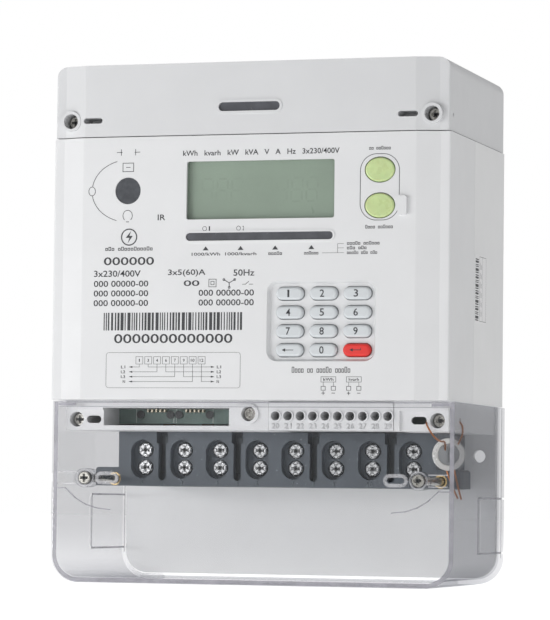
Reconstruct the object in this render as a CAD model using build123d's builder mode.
"""Prepaid three-phase electricity meter with a keypad, modelled as separate pieces.

Frame: +Z up, the front faces -Y, +X to the right when facing the front.
The origin is at the middle of the footprint, on the surface the meter stands on.
Depths are counted backwards from the flat side margins of the front.
"""

import os
from math import cos
from math import pi
from math import radians
from math import sin
from math import tan

from build123d import *

os.makedirs("parts", exist_ok=True)

# ---------------------------------------------------------------- driving dimensions, in mm
case_height = 220.0
case_depth = 95.0
wall = 2.4
seam_gap = 0.4

plateau_rise = 2.4
lug_rise = 1.6
margin_width = 4.4
bevel_width = 9.7
corner_radius = 0.9

top_cover_half = 86.9
main_cover_half = 87.4
terminal_cover_half = 88.5
step_half = 84.5

terminal_cover_top = 77.2
main_cover_bottom = 77.6
main_cover_top = 189.0
step_bottom = 65.0
step_depth = 10.0
part_line = 41.4

# Depth datum: the front face of the side margins, from the middle of the footprint
total_depth = case_depth + plateau_rise + lug_rise
margin_y = plateau_rise + lug_rise - total_depth / 2
plateau = -plateau_rise
back = case_depth
panel_front = case_depth - 3.5

# Keypad
key_columns = (18.95, 33.6, 48.25)
key_rows = (122.0, 114.1, 106.25, 98.35)
key_length = 11.9
key_height = 5.3
key_travel = 1.2
key_back_depth = 3.1
key_names = (
    ("key_1", "key_2", "key_3"),
    ("key_4", "key_5", "key_6"),
    ("key_7", "key_8", "key_9"),
    ("key_back", "key_0", "key_enter"),
)
well_centre = (32.8, 110.4)
well_width = 47.2
well_height = 33.6
well_floor = -0.2
well_floor_back = 2.0

# Scroll buttons
button_x = 57.75
button_heights = {"button_up": 173.2, "button_down": 158.3}
button_radii = (6.3, 5.1)
moving_gap = 0.35

# Display, indicator strip, optical port and top lamp
display_centre = (5.6, 165.8)
display_width = 65.0
display_height = 24.6
strip_centre = (5.4, 146.15)
strip_width = 64.6
strip_height = 3.4
port_centre = (-53.1, 166.1)
port_radius = 5.6
lamp_centre = (0.4, 201.0)
lamp_width = 27.0
lamp_height = 3.8

# Sealable screws
top_screw = (79.6, 196.3)
step_screw = (79.8, 69.5)
hatch_screw = (73.4, 44.4)
service_screw_at = (-2.0, 72.0)
boss_radius = 4.4
head_well_radius = 3.2
seal_hole_radius = 0.9

# Terminal block
block_half = 71.5
block_bottom = 41.4
block_front = 41.8
tab_half = 82.0
tab_top = 49.5
tab_back = 60.0
terminal_near = (8.1, 26.2, 42.4, 60.5)
terminal_positions = [-x for x in reversed(terminal_near)] + list(terminal_near)
link_positions = (-51.45, -17.15, 17.15, 51.45)
cable_depth = 74.0
cable_radius = 4.2
screw_heights = {"terminal_screws_upper": 57.1, "terminal_screws_lower": 49.5}
groove_width = 0.38
groove_depth = 0.45
well_middle = 53.1

# Auxiliary terminals
strip_left = 6.8
strip_right = 61.2
auxiliary_pitch = 5.44
auxiliary_first = 9.9
auxiliary_height = 71.2
auxiliary_count = 10

# Boards
main_board_front = 6.6
power_board_front = 31.0
board_thickness = 1.6

# Fixing holes in the base's back panel
fixing_half = 78.0
fixing_height = 56.0
fixing_radius = 2.75
hanger_half = 11.0
hanger_bottom = 186.0
hanger_top = 216.6
hanger_hole = 210.5
hanger_hole_radius = 3.2

# Wire seal
seal_centre = (78.0, 37.4, 55.9)
seal_turn = 17.0
seal_wire_diameter = 0.8


# ---------------------------------------------------------------- shared helpers
def at_depth(depth):
    """Y of a depth behind the front margins."""
    return margin_y + depth


def front_plane(depth):
    """Plane at a depth, drawn in x and z, facing forwards."""
    return Plane(origin=(0, at_depth(depth), 0), x_dir=(1, 0, 0), z_dir=(0, -1, 0))


def block(x, depth, z, mode=Mode.ADD):
    """Box between the low and high values of x, depth and z."""
    centre = (sum(x) / 2, at_depth(sum(depth) / 2), sum(z) / 2)
    with Locations(centre):
        Box(x[1] - x[0], depth[1] - depth[0], z[1] - z[0], mode=mode)


def rod(x, z, depth, radius, mode=Mode.ADD):
    """Cylinder from front to back."""
    with Locations((x, at_depth(sum(depth) / 2), z)):
        Cylinder(radius, depth[1] - depth[0], rotation=(90, 0, 0), mode=mode)


def cross_rod(x, depth, z, radius, mode=Mode.ADD):
    """Cylinder from left to right."""
    with Locations((sum(x) / 2, at_depth(depth), z)):
        Cylinder(radius, x[1] - x[0], rotation=(0, 90, 0), mode=mode)


def upright_rod(x, depth, z, radius, mode=Mode.ADD):
    """Cylinder from bottom to top."""
    with Locations((x, at_depth(depth), sum(z) / 2)):
        Cylinder(radius, z[1] - z[0], mode=mode)


def ring(x, z, depth, outer, inner):
    """Tube from front to back."""
    rod(x, z, depth, outer)
    rod(x, z, depth, inner, mode=Mode.SUBTRACT)


def cross_screw(x, z, head, head_radius, shaft_end, shaft_radius):
    """Pan head screw with a cross recess and a bevelled rim, its head between two depths."""
    recess_width = head_radius * 0.2
    recess_reach = head_radius * 0.62
    recess_floor = head[0] + 0.45 * (head[1] - head[0])
    rim = head_radius * 0.18
    rod(x, z, (head[0] + rim, head[1]), head_radius)
    with Locations(Location((x, at_depth(head[0] + rim / 2), z), (90, 0, 0))):
        Cone(head_radius, head_radius - rim, rim)
    rod(x, z, (head[1], shaft_end), shaft_radius)
    flat = (x - recess_reach, x + recess_reach)
    thin = (x - recess_width, x + recess_width)
    cut = (head[0] - 1, recess_floor)
    block(flat, cut, (z - recess_width, z + recess_width), mode=Mode.SUBTRACT)
    block(thin, cut, (z - recess_reach, z + recess_reach), mode=Mode.SUBTRACT)


def serrate(x, z, front, radii, count):
    """Radial grooves in the front face of a screw head, between two radii."""
    with Locations(Location((x, at_depth(front), z), (90, 0, 0))):
        with PolarLocations(sum(radii) / 2, count, start_angle=180 / count):
            Box(radii[1] - radii[0], groove_width, 2 * groove_depth, mode=Mode.SUBTRACT)


def plan_profile(half_width, inset, end_depth):
    """Plan of the bevelled front, closed at a depth; inset moves it inside the wall."""
    side = half_width - inset
    margin_edge = half_width - margin_width - inset * 0.12
    plateau_edge = half_width - margin_width - bevel_width - inset * 0.12
    with BuildSketch() as profile:
        with BuildLine():
            Polyline(
                (-side, at_depth(end_depth)),
                (-side, at_depth(inset)),
                (-margin_edge, at_depth(inset)),
                (-plateau_edge, at_depth(plateau + inset)),
                (plateau_edge, at_depth(plateau + inset)),
                (margin_edge, at_depth(inset)),
                (side, at_depth(inset)),
                (side, at_depth(end_depth)),
                close=True,
            )
        make_face()
        front_corners = profile.vertices().group_by(Axis.Y)[1].sort_by(Axis.X)
        fillet([front_corners[0], front_corners[-1]], corner_radius)
    return profile.sketch


def save(builder, label):
    """Label a finished piece and write its STEP file."""
    builder.part.label = label
    export_step(builder.part, f"parts/{label}.step")


# ---------------------------------------------------------------- rear base
base_mid_bottom = main_cover_bottom
base_front = part_line + 0.2
upper_half = 84.2
upper_front = 42.0
upper_top = 216.8
lower_panel_half = 85.4
lower_panel_bottom = 2.7
lower_panel_radius = 10.0
inner = main_cover_half - wall
busbar_depth = cable_depth + 3.0

with BuildPart() as rear_base:
    # lower panel behind the terminals, with rounded lower corners
    with BuildSketch(front_plane(back)):
        with Locations((0, (lower_panel_bottom + main_cover_bottom) / 2)):
            panel = Rectangle(2 * lower_panel_half, main_cover_bottom - lower_panel_bottom)
        fillet(panel.vertices().group_by(Axis.Y)[0], lower_panel_radius)
    extrude(amount=back - panel_front)
    # tray behind the main cover, the step under it and the bay under the top cover
    block((-main_cover_half, main_cover_half), (base_front, back), (base_mid_bottom, main_cover_top))
    block((-step_half, step_half), (base_front, back), (step_bottom + 0.4, base_mid_bottom))
    block((-upper_half, upper_half), (upper_front, back), (main_cover_top, upper_top))
    # hollows
    floor_z = step_bottom + 0.4 + wall
    block((-inner, inner), (base_front - 1, panel_front), (base_mid_bottom + wall, main_cover_top - wall),
          mode=Mode.SUBTRACT)
    block((wall - step_half, step_half - wall), (base_front - 1, panel_front),
          (floor_z, base_mid_bottom + wall + 1), mode=Mode.SUBTRACT)
    block((wall - upper_half, upper_half - wall), (upper_front - 1, panel_front),
          (main_cover_top + wall, upper_top - wall), mode=Mode.SUBTRACT)
    # screw pillars for the two covers
    for side in (-1, 1):
        rod(side * step_screw[0], step_screw[1], (base_front, 62), 4.0)
        rod(side * step_screw[0], step_screw[1], (base_front - 1, 58), 1.9, mode=Mode.SUBTRACT)
        rod(side * top_screw[0], top_screw[1], (upper_front, 66), 4.6)
        rod(side * top_screw[0], top_screw[1], (upper_front - 1, 62), 2.3, mode=Mode.SUBTRACT)
        for z in (100.0, 146.0):
            rod(side * 76, z, (power_board_front + board_thickness + 12, panel_front + 1), 3.2)
            rod(side * 76, z, (power_board_front + board_thickness + 11, 58), 1.3, mode=Mode.SUBTRACT)
    # slots where the busbars come up from the terminal block
    for x in terminal_positions:
        block((x - 3.0, x + 3.0), (busbar_depth - 1.2, busbar_depth + 1.6), (step_bottom, floor_z + 1),
              mode=Mode.SUBTRACT)
    # fixing holes beside the terminal block
    for side in (-1, 1):
        rod(side * fixing_half, fixing_height, (panel_front - 1, back + 1), fixing_radius, mode=Mode.SUBTRACT)
    # slideway for the hanger in the back face, open at the top
    slide_half = hanger_half + 0.3
    block((-slide_half, slide_half), (back - 2.2, back + 1), (hanger_bottom - 0.3, upper_top + 1),
          mode=Mode.SUBTRACT)
    for side in (-1, 1):
        edge = side * slide_half
        block(sorted((edge, edge - side * 2.2)), (back - 0.9, back), (hanger_bottom + 6, upper_top - 4))
    # groove for the gasket round the parting edge
    groove_in = inner + 0.6
    with BuildSketch(front_plane(base_front)):
        with Locations((0, (base_mid_bottom + main_cover_top) / 2)):
            Rectangle(2 * groove_in + 2.4, main_cover_top - base_mid_bottom - 2 * 0.6)
            Rectangle(2 * groove_in, main_cover_top - base_mid_bottom - 2 * 1.8, mode=Mode.SUBTRACT)
    extrude(amount=-1.2, mode=Mode.SUBTRACT)
    # shallow grooves down the back face
    for x in (-60.0, -30.0, 30.0, 60.0):
        block((x - 1.0, x + 1.0), (back - 0.8, back + 1), (96, 170), mode=Mode.SUBTRACT)
save(rear_base, "rear_base")

with BuildPart() as cover_gasket:
    with BuildSketch(front_plane(base_front)):
        with Locations((0, (base_mid_bottom + main_cover_top) / 2)):
            Rectangle(2 * groove_in + 2.2, main_cover_top - base_mid_bottom - 2 * 0.7)
            Rectangle(2 * groove_in + 0.2, main_cover_top - base_mid_bottom - 2 * 1.7, mode=Mode.SUBTRACT)
    extrude(amount=-1.1)
save(cover_gasket, "cover_gasket")

# ---------------------------------------------------------------- main cover
rebate = 1.3
seal_wire_depth = 17.6
window_left = -67.5
window_right = -10.8
window_bottom = 66.9
window_top = 74.5
lens_depth = -1.0

with BuildPart() as main_cover:
    with BuildSketch(Plane.XY.offset(main_cover_bottom)):
        add(plan_profile(main_cover_half, 0, part_line))
    extrude(amount=main_cover_top - main_cover_bottom)
    with BuildSketch(Plane.XY.offset(main_cover_bottom + wall)):
        add(plan_profile(main_cover_half, wall, part_line + 1))
    extrude(amount=main_cover_top - main_cover_bottom - 2 * wall, mode=Mode.SUBTRACT)
    # recessed step that carries the sealable screws, under the terminal cover
    block((-step_half, step_half), (step_depth, part_line), (step_bottom, main_cover_bottom))
    block((wall - step_half, step_half - wall), (step_depth + wall, part_line + 1),
          (step_bottom + wall, main_cover_bottom + wall + 1), mode=Mode.SUBTRACT)
    # window onto the power board, with its tunnel
    block((window_left - 1.2, window_right + 1.2), (step_depth + wall, power_board_front - 0.3),
          (step_bottom + wall, window_top + 1.2))
    block((window_left, window_right), (step_depth - 1, power_board_front), (window_bottom, window_top),
          mode=Mode.SUBTRACT)
    # bay for the auxiliary terminals
    block((strip_left - 0.2, strip_right + 0.2), (step_depth - 1, part_line + 1),
          (step_bottom - 1, main_cover_bottom - 0.3), mode=Mode.SUBTRACT)
    # raised collar round the service screw
    service_x, service_z = service_screw_at
    rod(service_x, service_z, (step_depth - 0.9, step_depth + 9), boss_radius)
    rod(service_x, service_z, (step_depth - 2, step_depth + 4.5), 3.1, mode=Mode.SUBTRACT)
    rod(service_x, service_z, (step_depth - 2, step_depth + 10), 1.6, mode=Mode.SUBTRACT)
    # sealable screws of the step
    for side in (-1, 1):
        x, z = side * step_screw[0], step_screw[1]
        outer = side * step_half
        pocket = sorted((side * 63.8, outer + side))
        block(pocket, (step_depth - 1, step_depth + 1.1), (step_bottom - 1, 73.4), mode=Mode.SUBTRACT)
        rod(x, z, (step_depth + 1.1, part_line), boss_radius)
        rod(x, z, (step_depth, 19.5), head_well_radius, mode=Mode.SUBTRACT)
        rod(x, z, (step_depth, part_line + 1), 2.0, mode=Mode.SUBTRACT)
        with BuildSketch(front_plane(step_depth)):
            with Locations((side * 71.9, z)):
                SlotOverall(6.6, 3.2)
        extrude(amount=-9.6, mode=Mode.SUBTRACT)
        cross_rod(sorted((side * 74, outer + side)), seal_wire_depth, z, seal_hole_radius, mode=Mode.SUBTRACT)
        cross_rod(sorted((side * 82, outer + side)), 31.0, 70.0, 1.4, mode=Mode.SUBTRACT)
    # keypad well, its floor standing inside the shell
    with BuildSketch(front_plane(well_floor)):
        with Locations(well_centre):
            RectangleRounded(well_width + 4, well_height + 4, 6)
    extrude(amount=-(well_floor_back - well_floor))
    with BuildSketch(front_plane(plateau)):
        with Locations(well_centre):
            RectangleRounded(well_width, well_height, 4.6)
    extrude(amount=-(well_floor - plateau), taper=24, mode=Mode.SUBTRACT)
    with BuildSketch(front_plane(well_floor)):
        for x in key_columns:
            for z in key_rows:
                with Locations((x, z)):
                    SlotOverall(key_length + 2 * moving_gap, key_height + 2 * moving_gap)
    extrude(amount=-4, both=True, mode=Mode.SUBTRACT)
    # display window with a rebate behind it for the lens
    with BuildSketch(front_plane(plateau)):
        with Locations(display_centre):
            RectangleRounded(display_width, display_height, 1.0)
    extrude(amount=-5, mode=Mode.SUBTRACT)
    with BuildSketch(front_plane(lens_depth)):
        with Locations(display_centre):
            RectangleRounded(display_width + 2 * rebate + 0.2, display_height + 2 * rebate + 0.2, 1.6)
    extrude(amount=-3, mode=Mode.SUBTRACT)
    # indicator strip opening with a thin raised rim
    with BuildSketch(front_plane(plateau)):
        with Locations(strip_centre):
            SlotOverall(strip_width + 1.6, strip_height + 1.6)
    extrude(amount=0.3)
    with BuildSketch(front_plane(plateau - 1)):
        with Locations(strip_centre):
            SlotOverall(strip_width, strip_height)
    extrude(amount=-6, mode=Mode.SUBTRACT)
    # optical port and button holes
    rod(*port_centre, (plateau - 1, 3), port_radius + 0.1, mode=Mode.SUBTRACT)
    with BuildSketch(front_plane(plateau - 1)):
        for z in button_heights.values():
            with Locations((button_x, z)):
                Ellipse(button_radii[0] + moving_gap, button_radii[1] + moving_gap)
    extrude(amount=-6, mode=Mode.SUBTRACT)
    # sealing lug beside the lower button
    with BuildSketch(front_plane(plateau)):
        with Locations((67.6, 158.2)):
            lug = Rectangle(4.2, 8.4)
        fillet(lug.vertices(), 1.2)
    extrude(amount=lug_rise, taper=8)
    upright_rod(67.6, plateau - 0.75, (152, 165), 0.4, mode=Mode.SUBTRACT)
    # pillars for the main board
    for x, z in ((-70, 90), (-70, 180), (70, 90), (70, 180)):
        rod(x, z, (0, main_board_front), 3.0)
        rod(x, z, (1.5, main_board_front + 1), 1.2, mode=Mode.SUBTRACT)
save(main_cover, "main_cover")

with BuildPart() as cover_screws:
    for side in (-1, 1):
        cross_screw(side * step_screw[0], step_screw[1], (15.0, 18.8), 2.9, 55, 1.85)
        cross_rod((side * step_screw[0] - 4, side * step_screw[0] + 4), seal_wire_depth, step_screw[1], 0.6,
                  mode=Mode.SUBTRACT)
save(cover_screws, "cover_screws")

with BuildPart() as service_screw:
    cross_screw(service_x, service_z, (step_depth + 1.6, step_depth + 4.4), 2.9, step_depth + 15, 1.55)
save(service_screw, "service_screw")

# ---------------------------------------------------------------- display, indicators and optical port
with BuildPart() as display_window:
    with BuildSketch(front_plane(lens_depth + 0.05)):
        with Locations(display_centre):
            RectangleRounded(display_width + 2 * rebate, display_height + 2 * rebate, 1.5)
    extrude(amount=-1.2)
save(display_window, "display_window")

with BuildPart() as lcd_panel:
    x, z = display_centre
    block((x - 34, x + 34), (0.5, 2.4), (z - 14.5, z + 14.5))
    chamfer(lcd_panel.edges().filter_by(Axis.Y), 0.4)
save(lcd_panel, "lcd_panel")

with BuildPart() as lcd_backlight:
    block((x - 35, x + 35), (2.5, main_board_front - 0.2), (z - 15.5, z + 15.5))
    block((x - 33, x + 33), (2.0, 3.3), (z - 13.5, z + 13.5), mode=Mode.SUBTRACT)
    for side in (-1, 1):
        block(sorted((x + side * 35, x + side * 36.2)), (3.5, main_board_front - 0.2), (z - 3, z + 3))
save(lcd_backlight, "lcd_backlight")

with BuildPart() as indicator_lens:
    with BuildSketch(front_plane(plateau + 0.25)):
        with Locations(strip_centre):
            SlotOverall(strip_width - 0.1, strip_height - 0.1)
    extrude(amount=-2.2)
    with BuildSketch(front_plane(0.05)):
        with Locations(strip_centre):
            SlotOverall(strip_width + 2.4, strip_height + 2.4)
    extrude(amount=-1.2)
save(indicator_lens, "indicator_lens")

with BuildPart() as indicator_leds:
    for x in (-18.0, -2.6, 12.6, 28.4):
        rod(x, strip_centre[1], (3.0, main_board_front - 0.1), 1.5)
        with Locations((x, at_depth(3.0), strip_centre[1])):
            Sphere(1.5, arc_size1=-90, arc_size2=90)
save(indicator_leds, "indicator_leds")

with BuildPart() as optical_port_lens:
    rod(*port_centre, (plateau + 0.3, 0.4), port_radius)
    rod(*port_centre, (0.1, 1.4), port_radius + 2)
    for side in (-1, 1):
        rod(port_centre[0] + side * 3.2, port_centre[1], (1.0, 2.2), 1.6)
save(optical_port_lens, "optical_port_lens")

with BuildPart() as optical_port_magnet:
    ring(*port_centre, (0.1, 2.0), 15.0, 9.0)
save(optical_port_magnet, "optical_port_magnet")

# ---------------------------------------------------------------- boards and what they carry
with BuildPart() as main_board:
    block((-76, 76), (main_board_front, main_board_front + board_thickness), (84, 186))
    for x, z in ((-70, 90), (-70, 180), (70, 90), (70, 180)):
        rod(x, z, (main_board_front - 1, main_board_front + 3), 1.3, mode=Mode.SUBTRACT)
save(main_board, "main_board")

with BuildPart() as board_screws:
    screw_front = main_board_front + board_thickness
    for x, z in ((-70, 90), (-70, 180), (70, 90), (70, 180)):
        rod(x, z, (screw_front, screw_front + 1.8), 2.4)
        rod(x, z, (2.0, screw_front), 1.15)
save(board_screws, "board_screws")

dome_height = 0.7
dome_middle = key_back_depth + key_travel + 0.15 + dome_height / 2

with BuildPart() as keypad_mat:
    with BuildSketch(front_plane(5.1)):
        with Locations(well_centre):
            RectangleRounded(well_width + 3, well_height + 3, 3)
    extrude(amount=-(main_board_front - 5.2))
    for x in key_columns:
        for z in key_rows:
            with Locations(Location((x, at_depth(dome_middle), z), (90, 0, 0))):
                Cone(2.6, 1.8, dome_height)
save(keypad_mat, "keypad_mat")

power_board_bottom = floor_z + 0.3
power_board_half = 80.0
with BuildPart() as power_board:
    board_span = (power_board_front, power_board_front + board_thickness)
    block((-power_board_half, power_board_half), board_span, (power_board_bottom, 152))
    for side in (-1, 1):
        rod(side * step_screw[0], step_screw[1], (30, 34), boss_radius + 0.4, mode=Mode.SUBTRACT)
        for z in (100.0, 146.0):
            rod(side * 76, z, (30, 34), 1.4, mode=Mode.SUBTRACT)
    # solder points and relay pins seen through the window
    for x in (-57.6, -44.1, -40.2, -26.2):
        rod(x, 72.1, (power_board_front - 0.35, power_board_front + 0.5), 1.7)
save(power_board, "power_board")

with BuildPart() as pin_headers:
    for start in (-53.7, -36.3):
        for pin in range(5):
            x = start + 1.9 * pin
            block((x - 0.32, x + 0.32), (power_board_front - 2.4, power_board_front), (73.1, 74.3))
save(pin_headers, "pin_headers")

relay_columns = (-51.4, -17.0, 17.4)
relay_bottom = 100.0
relay_span = (60.0, 84.0)
with BuildPart() as relays:
    for x in relay_columns:
        block((x - 14, x + 14), relay_span, (relay_bottom, relay_bottom + 38))
    fillet(relays.edges().filter_by(Axis.Y), 1.0)
save(relays, "relays")

with BuildPart() as current_transformers:
    for x in (-60.5, -26.2, 8.1):
        upright_rod(x, busbar_depth + 0.2, (82, 92), 8.0)
        upright_rod(x, busbar_depth + 0.2, (81, 93), 3.6, mode=Mode.SUBTRACT)
save(current_transformers, "current_transformers")

with BuildPart() as power_transformer:
    block((36, 72), (40, 68), (104, 134))
    block((42, 66), (power_board_front + board_thickness, 40), (108, 130))
    block((33, 36), (44, 64), (108, 130))
save(power_transformer, "power_transformer")

with BuildPart() as capacitors:
    for x, radius in ((-36.0, 5.0), (-22.0, 6.3), (-6.0, 6.3)):
        rod(x, 88.0, (power_board_front + board_thickness, 56), radius)
save(capacitors, "capacitors")

with BuildPart() as backup_battery:
    with Locations((40.0, at_depth(main_board_front + board_thickness + 8), 170.0)):
        Cylinder(7.2, 24, rotation=(0, 90, 0))
    with Locations((53.0, at_depth(main_board_front + board_thickness + 8), 170.0)):
        Cylinder(3.0, 2, rotation=(0, 90, 0))
save(backup_battery, "backup_battery")

with BuildPart() as battery_holder:
    holder_front = main_board_front + board_thickness
    block((25, 57), (holder_front, holder_front + 12), (161.5, 178.5))
    with Locations((41.0, at_depth(holder_front + 8), 170.0)):
        Cylinder(7.4, 27, rotation=(0, 90, 0), mode=Mode.SUBTRACT)
    block((24, 58), (holder_front + 8, holder_front + 13), (162.8, 177.2), mode=Mode.SUBTRACT)
save(battery_holder, "battery_holder")

with BuildPart() as buzzer:
    rod(-40, 110, (main_board_front + board_thickness, main_board_front + board_thickness + 7), 6.0)
    rod(-40, 110, (main_board_front + board_thickness + 5, main_board_front + board_thickness + 8), 1.2,
        mode=Mode.SUBTRACT)
save(buzzer, "buzzer")

# ---------------------------------------------------------------- keys and scroll buttons
key_front = plateau + 0.1
flange_margin = 0.8


# One key, stadium shaped, with a domed top and a retaining flange
with BuildPart() as key_template:
    with BuildSketch(front_plane(key_back_depth)):
        SlotOverall(key_length, key_height)
    extrude(amount=key_back_depth - key_front)
    fillet(key_template.faces().sort_by(Axis.Y)[0].edges(), 1.1)
    with BuildSketch(front_plane(key_back_depth)):
        SlotOverall(key_length + 2 * flange_margin, key_height + 2 * flange_margin)
    extrude(amount=0.8)

for row_names, z in zip(key_names, key_rows):
    for name, x in zip(row_names, key_columns):
        with BuildPart(Location((x, 0, z))) as key:
            add(key_template.part)
        save(key, name)

for name, z in button_heights.items():
    with BuildPart() as button:
        with BuildSketch(front_plane(3.4)):
            with Locations((button_x, z)):
                Ellipse(*button_radii)
        extrude(amount=3.4 - plateau + 0.5)
        fillet(button.faces().sort_by(Axis.Y)[0].edges(), 0.8)
        with BuildSketch(front_plane(3.4)):
            with Locations((button_x, z)):
                Ellipse(button_radii[0] + 0.9, button_radii[1] + 0.9)
        extrude(amount=1.0)
    save(button, name)

with BuildPart() as button_switches:
    for z in button_heights.values():
        block((button_x - 3, button_x + 3), (5.4, main_board_front - 0.05), (z - 3, z + 3))
        rod(button_x, z, (4.8, 5.4), 1.6)
save(button_switches, "button_switches")

# ---------------------------------------------------------------- top cover
top_bottom = main_cover_top + seam_gap
top_edge_radius = 5.0
slot_floor = 8.0
top_wire_depth = 5.8

with BuildPart() as top_cover:
    with BuildSketch(Plane.XY.offset(top_bottom)):
        add(plan_profile(top_cover_half, 0, back))
    extrude(amount=case_height - top_bottom)
    # round the two long edges of the top
    with BuildSketch(front_plane(plateau - 1)):
        with Locations((0, (top_bottom + case_height) / 2)):
            front_view = Rectangle(2 * top_cover_half, case_height - top_bottom)
        fillet(front_view.vertices().group_by(Axis.Y)[-1], top_edge_radius)
    extrude(amount=plateau - back - 2, mode=Mode.INTERSECT)
    with BuildSketch(Plane.XY.offset(top_bottom - 1)):
        add(plan_profile(top_cover_half, wall, back + 1))
    extrude(amount=case_height - wall - top_bottom + 1, mode=Mode.SUBTRACT)
    for side in (-1, 1):
        x, z = side * top_screw[0], top_screw[1]
        # boss standing out of the bevel, with a tube back to the base's pillar
        rod(x, z, (-2.0, upper_front - 0.5), boss_radius)
        rod(x, z, (-3, 8.0), head_well_radius, mode=Mode.SUBTRACT)
        rod(x, z, (-3, 45), 2.1, mode=Mode.SUBTRACT)
        # sealing slot beside it, joined to the side wall by a wire hole
        with BuildSketch(front_plane(-0.2)):
            with Locations((side * 69.4, z)):
                SlotOverall(10.4, 4.6)
        extrude(amount=-(slot_floor + 1.2))
        with BuildSketch(front_plane(plateau - 1)):
            with Locations((side * 69.4, z)):
                SlotOverall(8.6, 2.4)
        extrude(amount=-(slot_floor - plateau + 1), mode=Mode.SUBTRACT)
        cross_rod(sorted((side * 72, side * 90)), top_wire_depth, z, seal_hole_radius, mode=Mode.SUBTRACT)
    # rim and opening for the lamp lens
    with BuildSketch(front_plane(plateau)):
        with Locations(lamp_centre):
            SlotOverall(lamp_width + 2.2, lamp_height + 2.2)
    extrude(amount=0.3)
    with BuildSketch(front_plane(plateau - 1)):
        with Locations(lamp_centre):
            SlotOverall(lamp_width, lamp_height)
    extrude(amount=-6, mode=Mode.SUBTRACT)
    # notch that lets the hanger slide up behind the cover
    block((-hanger_half - 1, hanger_half + 1), (back - 3, back + 1), (case_height - 10, case_height + 1),
          mode=Mode.SUBTRACT)
save(top_cover, "top_cover")

with BuildPart() as lamp_lens:
    with BuildSketch(front_plane(plateau + 0.7)):
        with Locations(lamp_centre):
            SlotOverall(lamp_width - 0.1, lamp_height - 0.1)
    extrude(amount=-1.8)
    with BuildSketch(front_plane(0.05)):
        with Locations(lamp_centre):
            SlotOverall(lamp_width + 3, lamp_height + 3)
    extrude(amount=-1.2)
save(lamp_lens, "lamp_lens")

with BuildPart() as top_cover_screws:
    for side in (-1, 1):
        x, z = side * top_screw[0], top_screw[1]
        cross_screw(x, z, (3.9, 7.6), 2.9, 54, 1.8)
        cross_rod((x - 4, x + 4), top_wire_depth + 0.6, z, 0.6, mode=Mode.SUBTRACT)
save(top_cover_screws, "top_cover_screws")

# communication module in the bay under the top cover
with BuildPart() as modem_module:
    block((-42, 42), (upper_front + 6, 88), (main_cover_top + wall + 0.1, 210))
    fillet(modem_module.edges().filter_by(Axis.Y), 1.5)
    block((-36, 36), (upper_front + 5, upper_front + 7), (main_cover_top + wall + 3, 207), mode=Mode.SUBTRACT)
    block((-20, 20), (88, panel_front - 0.1), (195, 203))
save(modem_module, "modem_module")

# ---------------------------------------------------------------- terminal block
tap_wide = (60.0, 65.0)
tap_narrow = (45.6, 60.5)

with BuildPart() as terminal_block:
    block((-block_half, block_half), (block_front, panel_front), (block_bottom, step_bottom))
    block((-tab_half, tab_half), (block_front, tab_back), (block_bottom, tab_top))
    long_edges = terminal_block.edges().filter_by(Axis.Y)
    shoulder_edges = long_edges.filter_by_position(Axis.Z, tab_top - 0.1, tab_top + 0.1).sort_by(Axis.X)
    fillet([shoulder_edges[0], shoulder_edges[-1]], 1.4)
    # screw wells
    with BuildSketch(front_plane(block_front)):
        for x in terminal_positions:
            with Locations((x, well_middle)):
                SlotOverall(16.8, 10.6, rotation=90)
    extrude(amount=-4.5, mode=Mode.SUBTRACT)
    for x in terminal_positions:
        for z in screw_heights.values():
            rod(x, z, (block_front + 4, cable_depth), 3.5, mode=Mode.SUBTRACT)
        # pocket for the brass clamp and the cable entry under it
        block((x - 6.2, x + 6.2), (cable_depth - 8.2, cable_depth + 8.2), (43.2, 62.6), mode=Mode.SUBTRACT)
        upright_rod(x, cable_depth, (block_bottom - 1, 44), cable_radius + 0.9, mode=Mode.SUBTRACT)
        block((x - 3.0, x + 3.0), (busbar_depth - 1.2, busbar_depth + 1.6), (62, step_bottom + 1),
              mode=Mode.SUBTRACT)
    # voltage link slots between the pairs
    for x in link_positions:
        block((x - 2.6, x + 2.6), (block_front - 1, block_front + 5.5), tap_wide, mode=Mode.SUBTRACT)
        block((x - 1.7, x + 1.7), (block_front - 1, block_front + 5.5), tap_narrow, mode=Mode.SUBTRACT)
        rod(x, tap_narrow[0], (block_front - 1, block_front + 5.5), 1.7, mode=Mode.SUBTRACT)
    # threaded places for the terminal cover's screws
    for side in (-1, 1):
        rod(side * hatch_screw[0], hatch_screw[1], (block_front - 1, 58), 2.9, mode=Mode.SUBTRACT)
save(terminal_block, "terminal_block")

with BuildPart() as threaded_inserts:
    for side in (-1, 1):
        ring(side * hatch_screw[0], hatch_screw[1], (block_front + 0.4, 57), 2.9, 2.15)
save(threaded_inserts, "threaded_inserts")

with BuildPart() as terminal_clamps:
    for x in terminal_positions:
        block((x - 6.1, x + 6.1), (cable_depth - 8.1, cable_depth + 8.1), (43.3, 62.5))
        upright_rod(x, cable_depth, (43, 60), cable_radius, mode=Mode.SUBTRACT)
        for z in screw_heights.values():
            rod(x, z, (cable_depth - 9, cable_depth), 2.5, mode=Mode.SUBTRACT)
save(terminal_clamps, "terminal_clamps")

screw_head = (45.4, 49.8)
screw_head_radius = 3.15
for name, z in screw_heights.items():
    with BuildPart() as terminal_screws:
        for x in terminal_positions:
            cross_screw(x, z, screw_head, screw_head_radius, cable_depth - cable_radius - 0.6, 2.45)
            serrate(x, z, screw_head[0], (1.5, screw_head_radius + 0.1), 8)
    save(terminal_screws, name)

with BuildPart() as voltage_links:
    for x in link_positions:
        block((x - 1.5, x + 1.5), (block_front + 3.6, block_front + 5.4), (47.0, 63.0))
save(voltage_links, "voltage_links")

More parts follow.
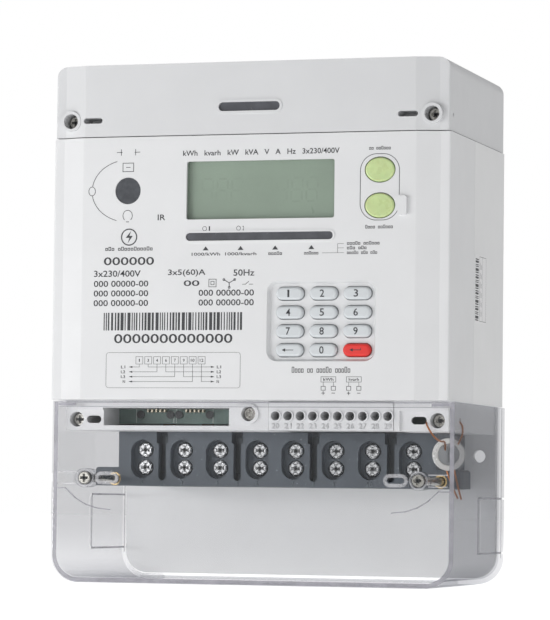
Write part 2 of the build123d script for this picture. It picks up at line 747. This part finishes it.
with BuildPart() as busbars:
    for x in terminal_positions:
        block((x - 2.6, x + 2.6), (busbar_depth - 0.8, busbar_depth + 1.2), (62.5, 98.0))
save(busbars, "busbars")

# ---------------------------------------------------------------- auxiliary terminals
with BuildPart() as auxiliary_terminals:
    block((strip_left, strip_right), (step_depth - 0.3, power_board_front - 0.1), (step_bottom + 0.2, 77.1))
    for index in range(auxiliary_count):
        x = auxiliary_first + auxiliary_pitch * index
        rod(x, auxiliary_height, (step_depth - 1.1, step_depth), 2.5)
        rod(x, auxiliary_height, (step_depth - 2, power_board_front), 1.95, mode=Mode.SUBTRACT)
        upright_rod(x, step_depth + 13, (step_bottom, auxiliary_height), 1.5, mode=Mode.SUBTRACT)
save(auxiliary_terminals, "auxiliary_terminals")

with BuildPart() as auxiliary_screws:
    for index in range(auxiliary_count):
        x = auxiliary_first + auxiliary_pitch * index
        cross_screw(x, auxiliary_height, (step_depth + 8, step_depth + 11), 1.85, step_depth + 18, 1.2)
save(auxiliary_screws, "auxiliary_screws")

# ---------------------------------------------------------------- clear terminal cover
hatch_front = 3.9
hatch_wall = 2.3
hatch_recess = 1.2
bottom_radius = 12.0
hatch_inner = terminal_cover_half - hatch_wall
channel = (hatch_screw[1] - 1.7, hatch_screw[1] + 1.9)

with BuildPart() as terminal_cover:
    with BuildSketch(front_plane(back)):
        with Locations((0, terminal_cover_top / 2)):
            outline = Rectangle(2 * terminal_cover_half, terminal_cover_top)
        fillet(outline.vertices().group_by(Axis.Y)[0], bottom_radius)
    extrude(amount=back - hatch_front)
    front_edges = terminal_cover.faces().sort_by(Axis.Y)[0].edges()
    fillet(front_edges, 1.4)
    with BuildSketch(front_plane(back)):
        with Locations((0, terminal_cover_top / 2)):
            hollow = Rectangle(2 * hatch_inner, terminal_cover_top - 2 * hatch_wall)
        fillet(hollow.vertices().group_by(Axis.Y)[0], bottom_radius - hatch_wall)
    extrude(amount=back - hatch_front - hatch_wall, mode=Mode.SUBTRACT)
    # the top wall is only a ledge in front of the step
    block((-hatch_inner, hatch_inner), (step_depth - 0.9, back + 1),
          (terminal_cover_top - hatch_wall - 1, terminal_cover_top + 1), mode=Mode.SUBTRACT)
    # the upper front is set back behind a rising edge
    with BuildSketch(front_plane(hatch_front)):
        with BuildLine():
            Polyline((-92, 84), (-92, 40), (-82, 40))
            ThreePointArc((-82, 40), (-73, 33.2), (-62, 31))
            Line((-62, 31), (62, 31))
            ThreePointArc((62, 31), (73, 33.2), (82, 40))
            Polyline((82, 40), (92, 40), (92, 84), (-92, 84))
        make_face()
    extrude(amount=-hatch_recess, mode=Mode.SUBTRACT)
    for side in (-1, 1):
        x, z = side * hatch_screw[0], hatch_screw[1]
        # collar that holds the captive screw
        rod(x, z, (hatch_front - 0.7, hatch_front + 9), 4.0)
        rod(x, z, (hatch_front - 2, hatch_front + 3.2), 3.1, mode=Mode.SUBTRACT)
        rod(x, z, (hatch_front - 2, block_front + 1), 2.1, mode=Mode.SUBTRACT)
        # sealing loop on the inner side of the screw
        with BuildSketch(front_plane(hatch_front - 0.6)):
            with Locations((side * 63.6, z)):
                SlotOverall(10.8, 5.6)
        extrude(amount=-5.6)
        with BuildSketch(front_plane(hatch_front - 1)):
            with Locations((side * 63.6, z)):
                SlotOverall(7.4, 2.4)
        extrude(amount=-8, mode=Mode.SUBTRACT)
        # channel for the seal wire out to the side
        edge = side * (terminal_cover_half + 1)
        block(sorted((side * 78.5, edge)), (hatch_front - 1, hatch_front + hatch_recess + 1.0), channel,
              mode=Mode.SUBTRACT)
        # knock-out drawn as a groove in the side wall
        side_face = Plane(origin=(side * terminal_cover_half, 0, 0), x_dir=(0, 1, 0), z_dir=(side, 0, 0))
        with BuildSketch(side_face):
            with Locations((at_depth(76.5), side * 25.8)):
                knock = RectangleRounded(50, 24.6, 3)
                offset(knock, amount=-0.9, mode=Mode.SUBTRACT)
        extrude(amount=-0.9, mode=Mode.SUBTRACT)
    # cable opening in the rear part of the floor
    block((-68, 68), (62, back + 1), (-1, hatch_wall + 1), mode=Mode.SUBTRACT)
save(terminal_cover, "terminal_cover")

with BuildPart() as terminal_cover_screws:
    head = (hatch_front - 0.2, hatch_front + 2.9)
    for side in (-1, 1):
        cross_screw(side * hatch_screw[0], hatch_screw[1], head, 2.8, 54, 1.75)
save(terminal_cover_screws, "terminal_cover_screws")

# ---------------------------------------------------------------- label and hanger
with BuildPart() as side_label:
    block((main_cover_half, main_cover_half + 0.15), (42.6, 62.9), (112.2, 141.3))
save(side_label, "side_label")

with BuildPart() as hanger:
    block((-hanger_half, hanger_half), (back - 2.0, back - 1.0), (hanger_bottom, hanger_top))
    fillet(hanger.edges().filter_by(Axis.Y).group_by(Axis.Z)[-1], 4)
    rod(0, hanger_hole, (back - 3, back + 1), hanger_hole_radius, mode=Mode.SUBTRACT)
    block((-1.6, 1.6), (back - 3, back + 1), (hanger_hole - 9, hanger_hole), mode=Mode.SUBTRACT)
save(hanger, "hanger")

# ---------------------------------------------------------------- wire seal
seal_x, seal_depth, seal_z = seal_centre
seal_plane = Plane(
    origin=(seal_x, at_depth(seal_depth), seal_z),
    x_dir=(cos(radians(seal_turn)), sin(radians(seal_turn)), 0),
    z_dir=(sin(radians(seal_turn)), -cos(radians(seal_turn)), 0),
)

with BuildPart() as seal_body:
    with BuildSketch(seal_plane.offset(-2.6)):
        Circle(6.9)
        Circle(4.5, mode=Mode.SUBTRACT)
    extrude(amount=5.2)
    fillet(seal_body.edges().filter_by(GeomType.CIRCLE), 0.7)
save(seal_body, "seal_body")

with BuildPart() as seal_core:
    with BuildSketch(seal_plane.offset(-2.2)):
        Circle(4.45)
    extrude(amount=4.4)
    with BuildSketch(seal_plane.offset(2.3)):
        Rectangle(1.2, 6.2)
    extrude(amount=-0.9, mode=Mode.SUBTRACT)
save(seal_core, "seal_core")

# Route of each wire as x, depth and z: out of its hole, through the seal, then its tail
front_wire_route = [
    (74.4, 15.0, 69.5),
    (74.9, 9.0, 69.0),
    (78.4, 9.3, 63.0),
    (79.4, 18.0, 60.8),
    (78.4, 30.0, 61.6),
    (76.4, 37.6, 56.2),
    (77.6, 36.8, 46.4),
    (82.6, 35.6, 37.4),
]
side_wire_route = [
    (83.2, 31.0, 70.1),
    (85.3, 31.5, 69.1),
    (85.3, 33.0, 64.4),
    (82.4, 36.6, 60.6),
    (79.8, 37.6, 54.6),
    (81.2, 36.6, 46.4),
    (83.8, 37.0, 36.9),
]


def corner_radii(points):
    """Largest radius for each corner, from its shorter run and its turn."""
    radii = []
    for before, corner, after in zip(points, points[1:], points[2:]):
        first = corner - before
        second = after - corner
        turn = first.get_angle(second)
        radii.append(0.45 * min(first.length, second.length) / tan(radians(turn / 2)))
    return radii


for name, route in (("seal_wire_front", front_wire_route), ("seal_wire_side", side_wire_route)):
    points = [Vector(x, at_depth(depth), z) for x, depth, z in route]
    radii = corner_radii(points)
    print(name, "radii", [round(radius, 1) for radius in radii])
    with BuildPart() as seal_wire:
        with BuildLine() as path:
            FilletPolyline(*points, radius=radii)
        centre_line = path.wires()[0]
        with BuildSketch(Plane(origin=centre_line @ 0, z_dir=centre_line % 0)):
            Circle(seal_wire_diameter / 2)
        sweep(path=centre_line)
    expected = pi * (seal_wire_diameter / 2) ** 2 * centre_line.length
    ratio = seal_wire.part.volume / expected
    print(name, "length", round(centre_line.length, 1), "volume ratio", round(ratio, 3))
    save(seal_wire, name)
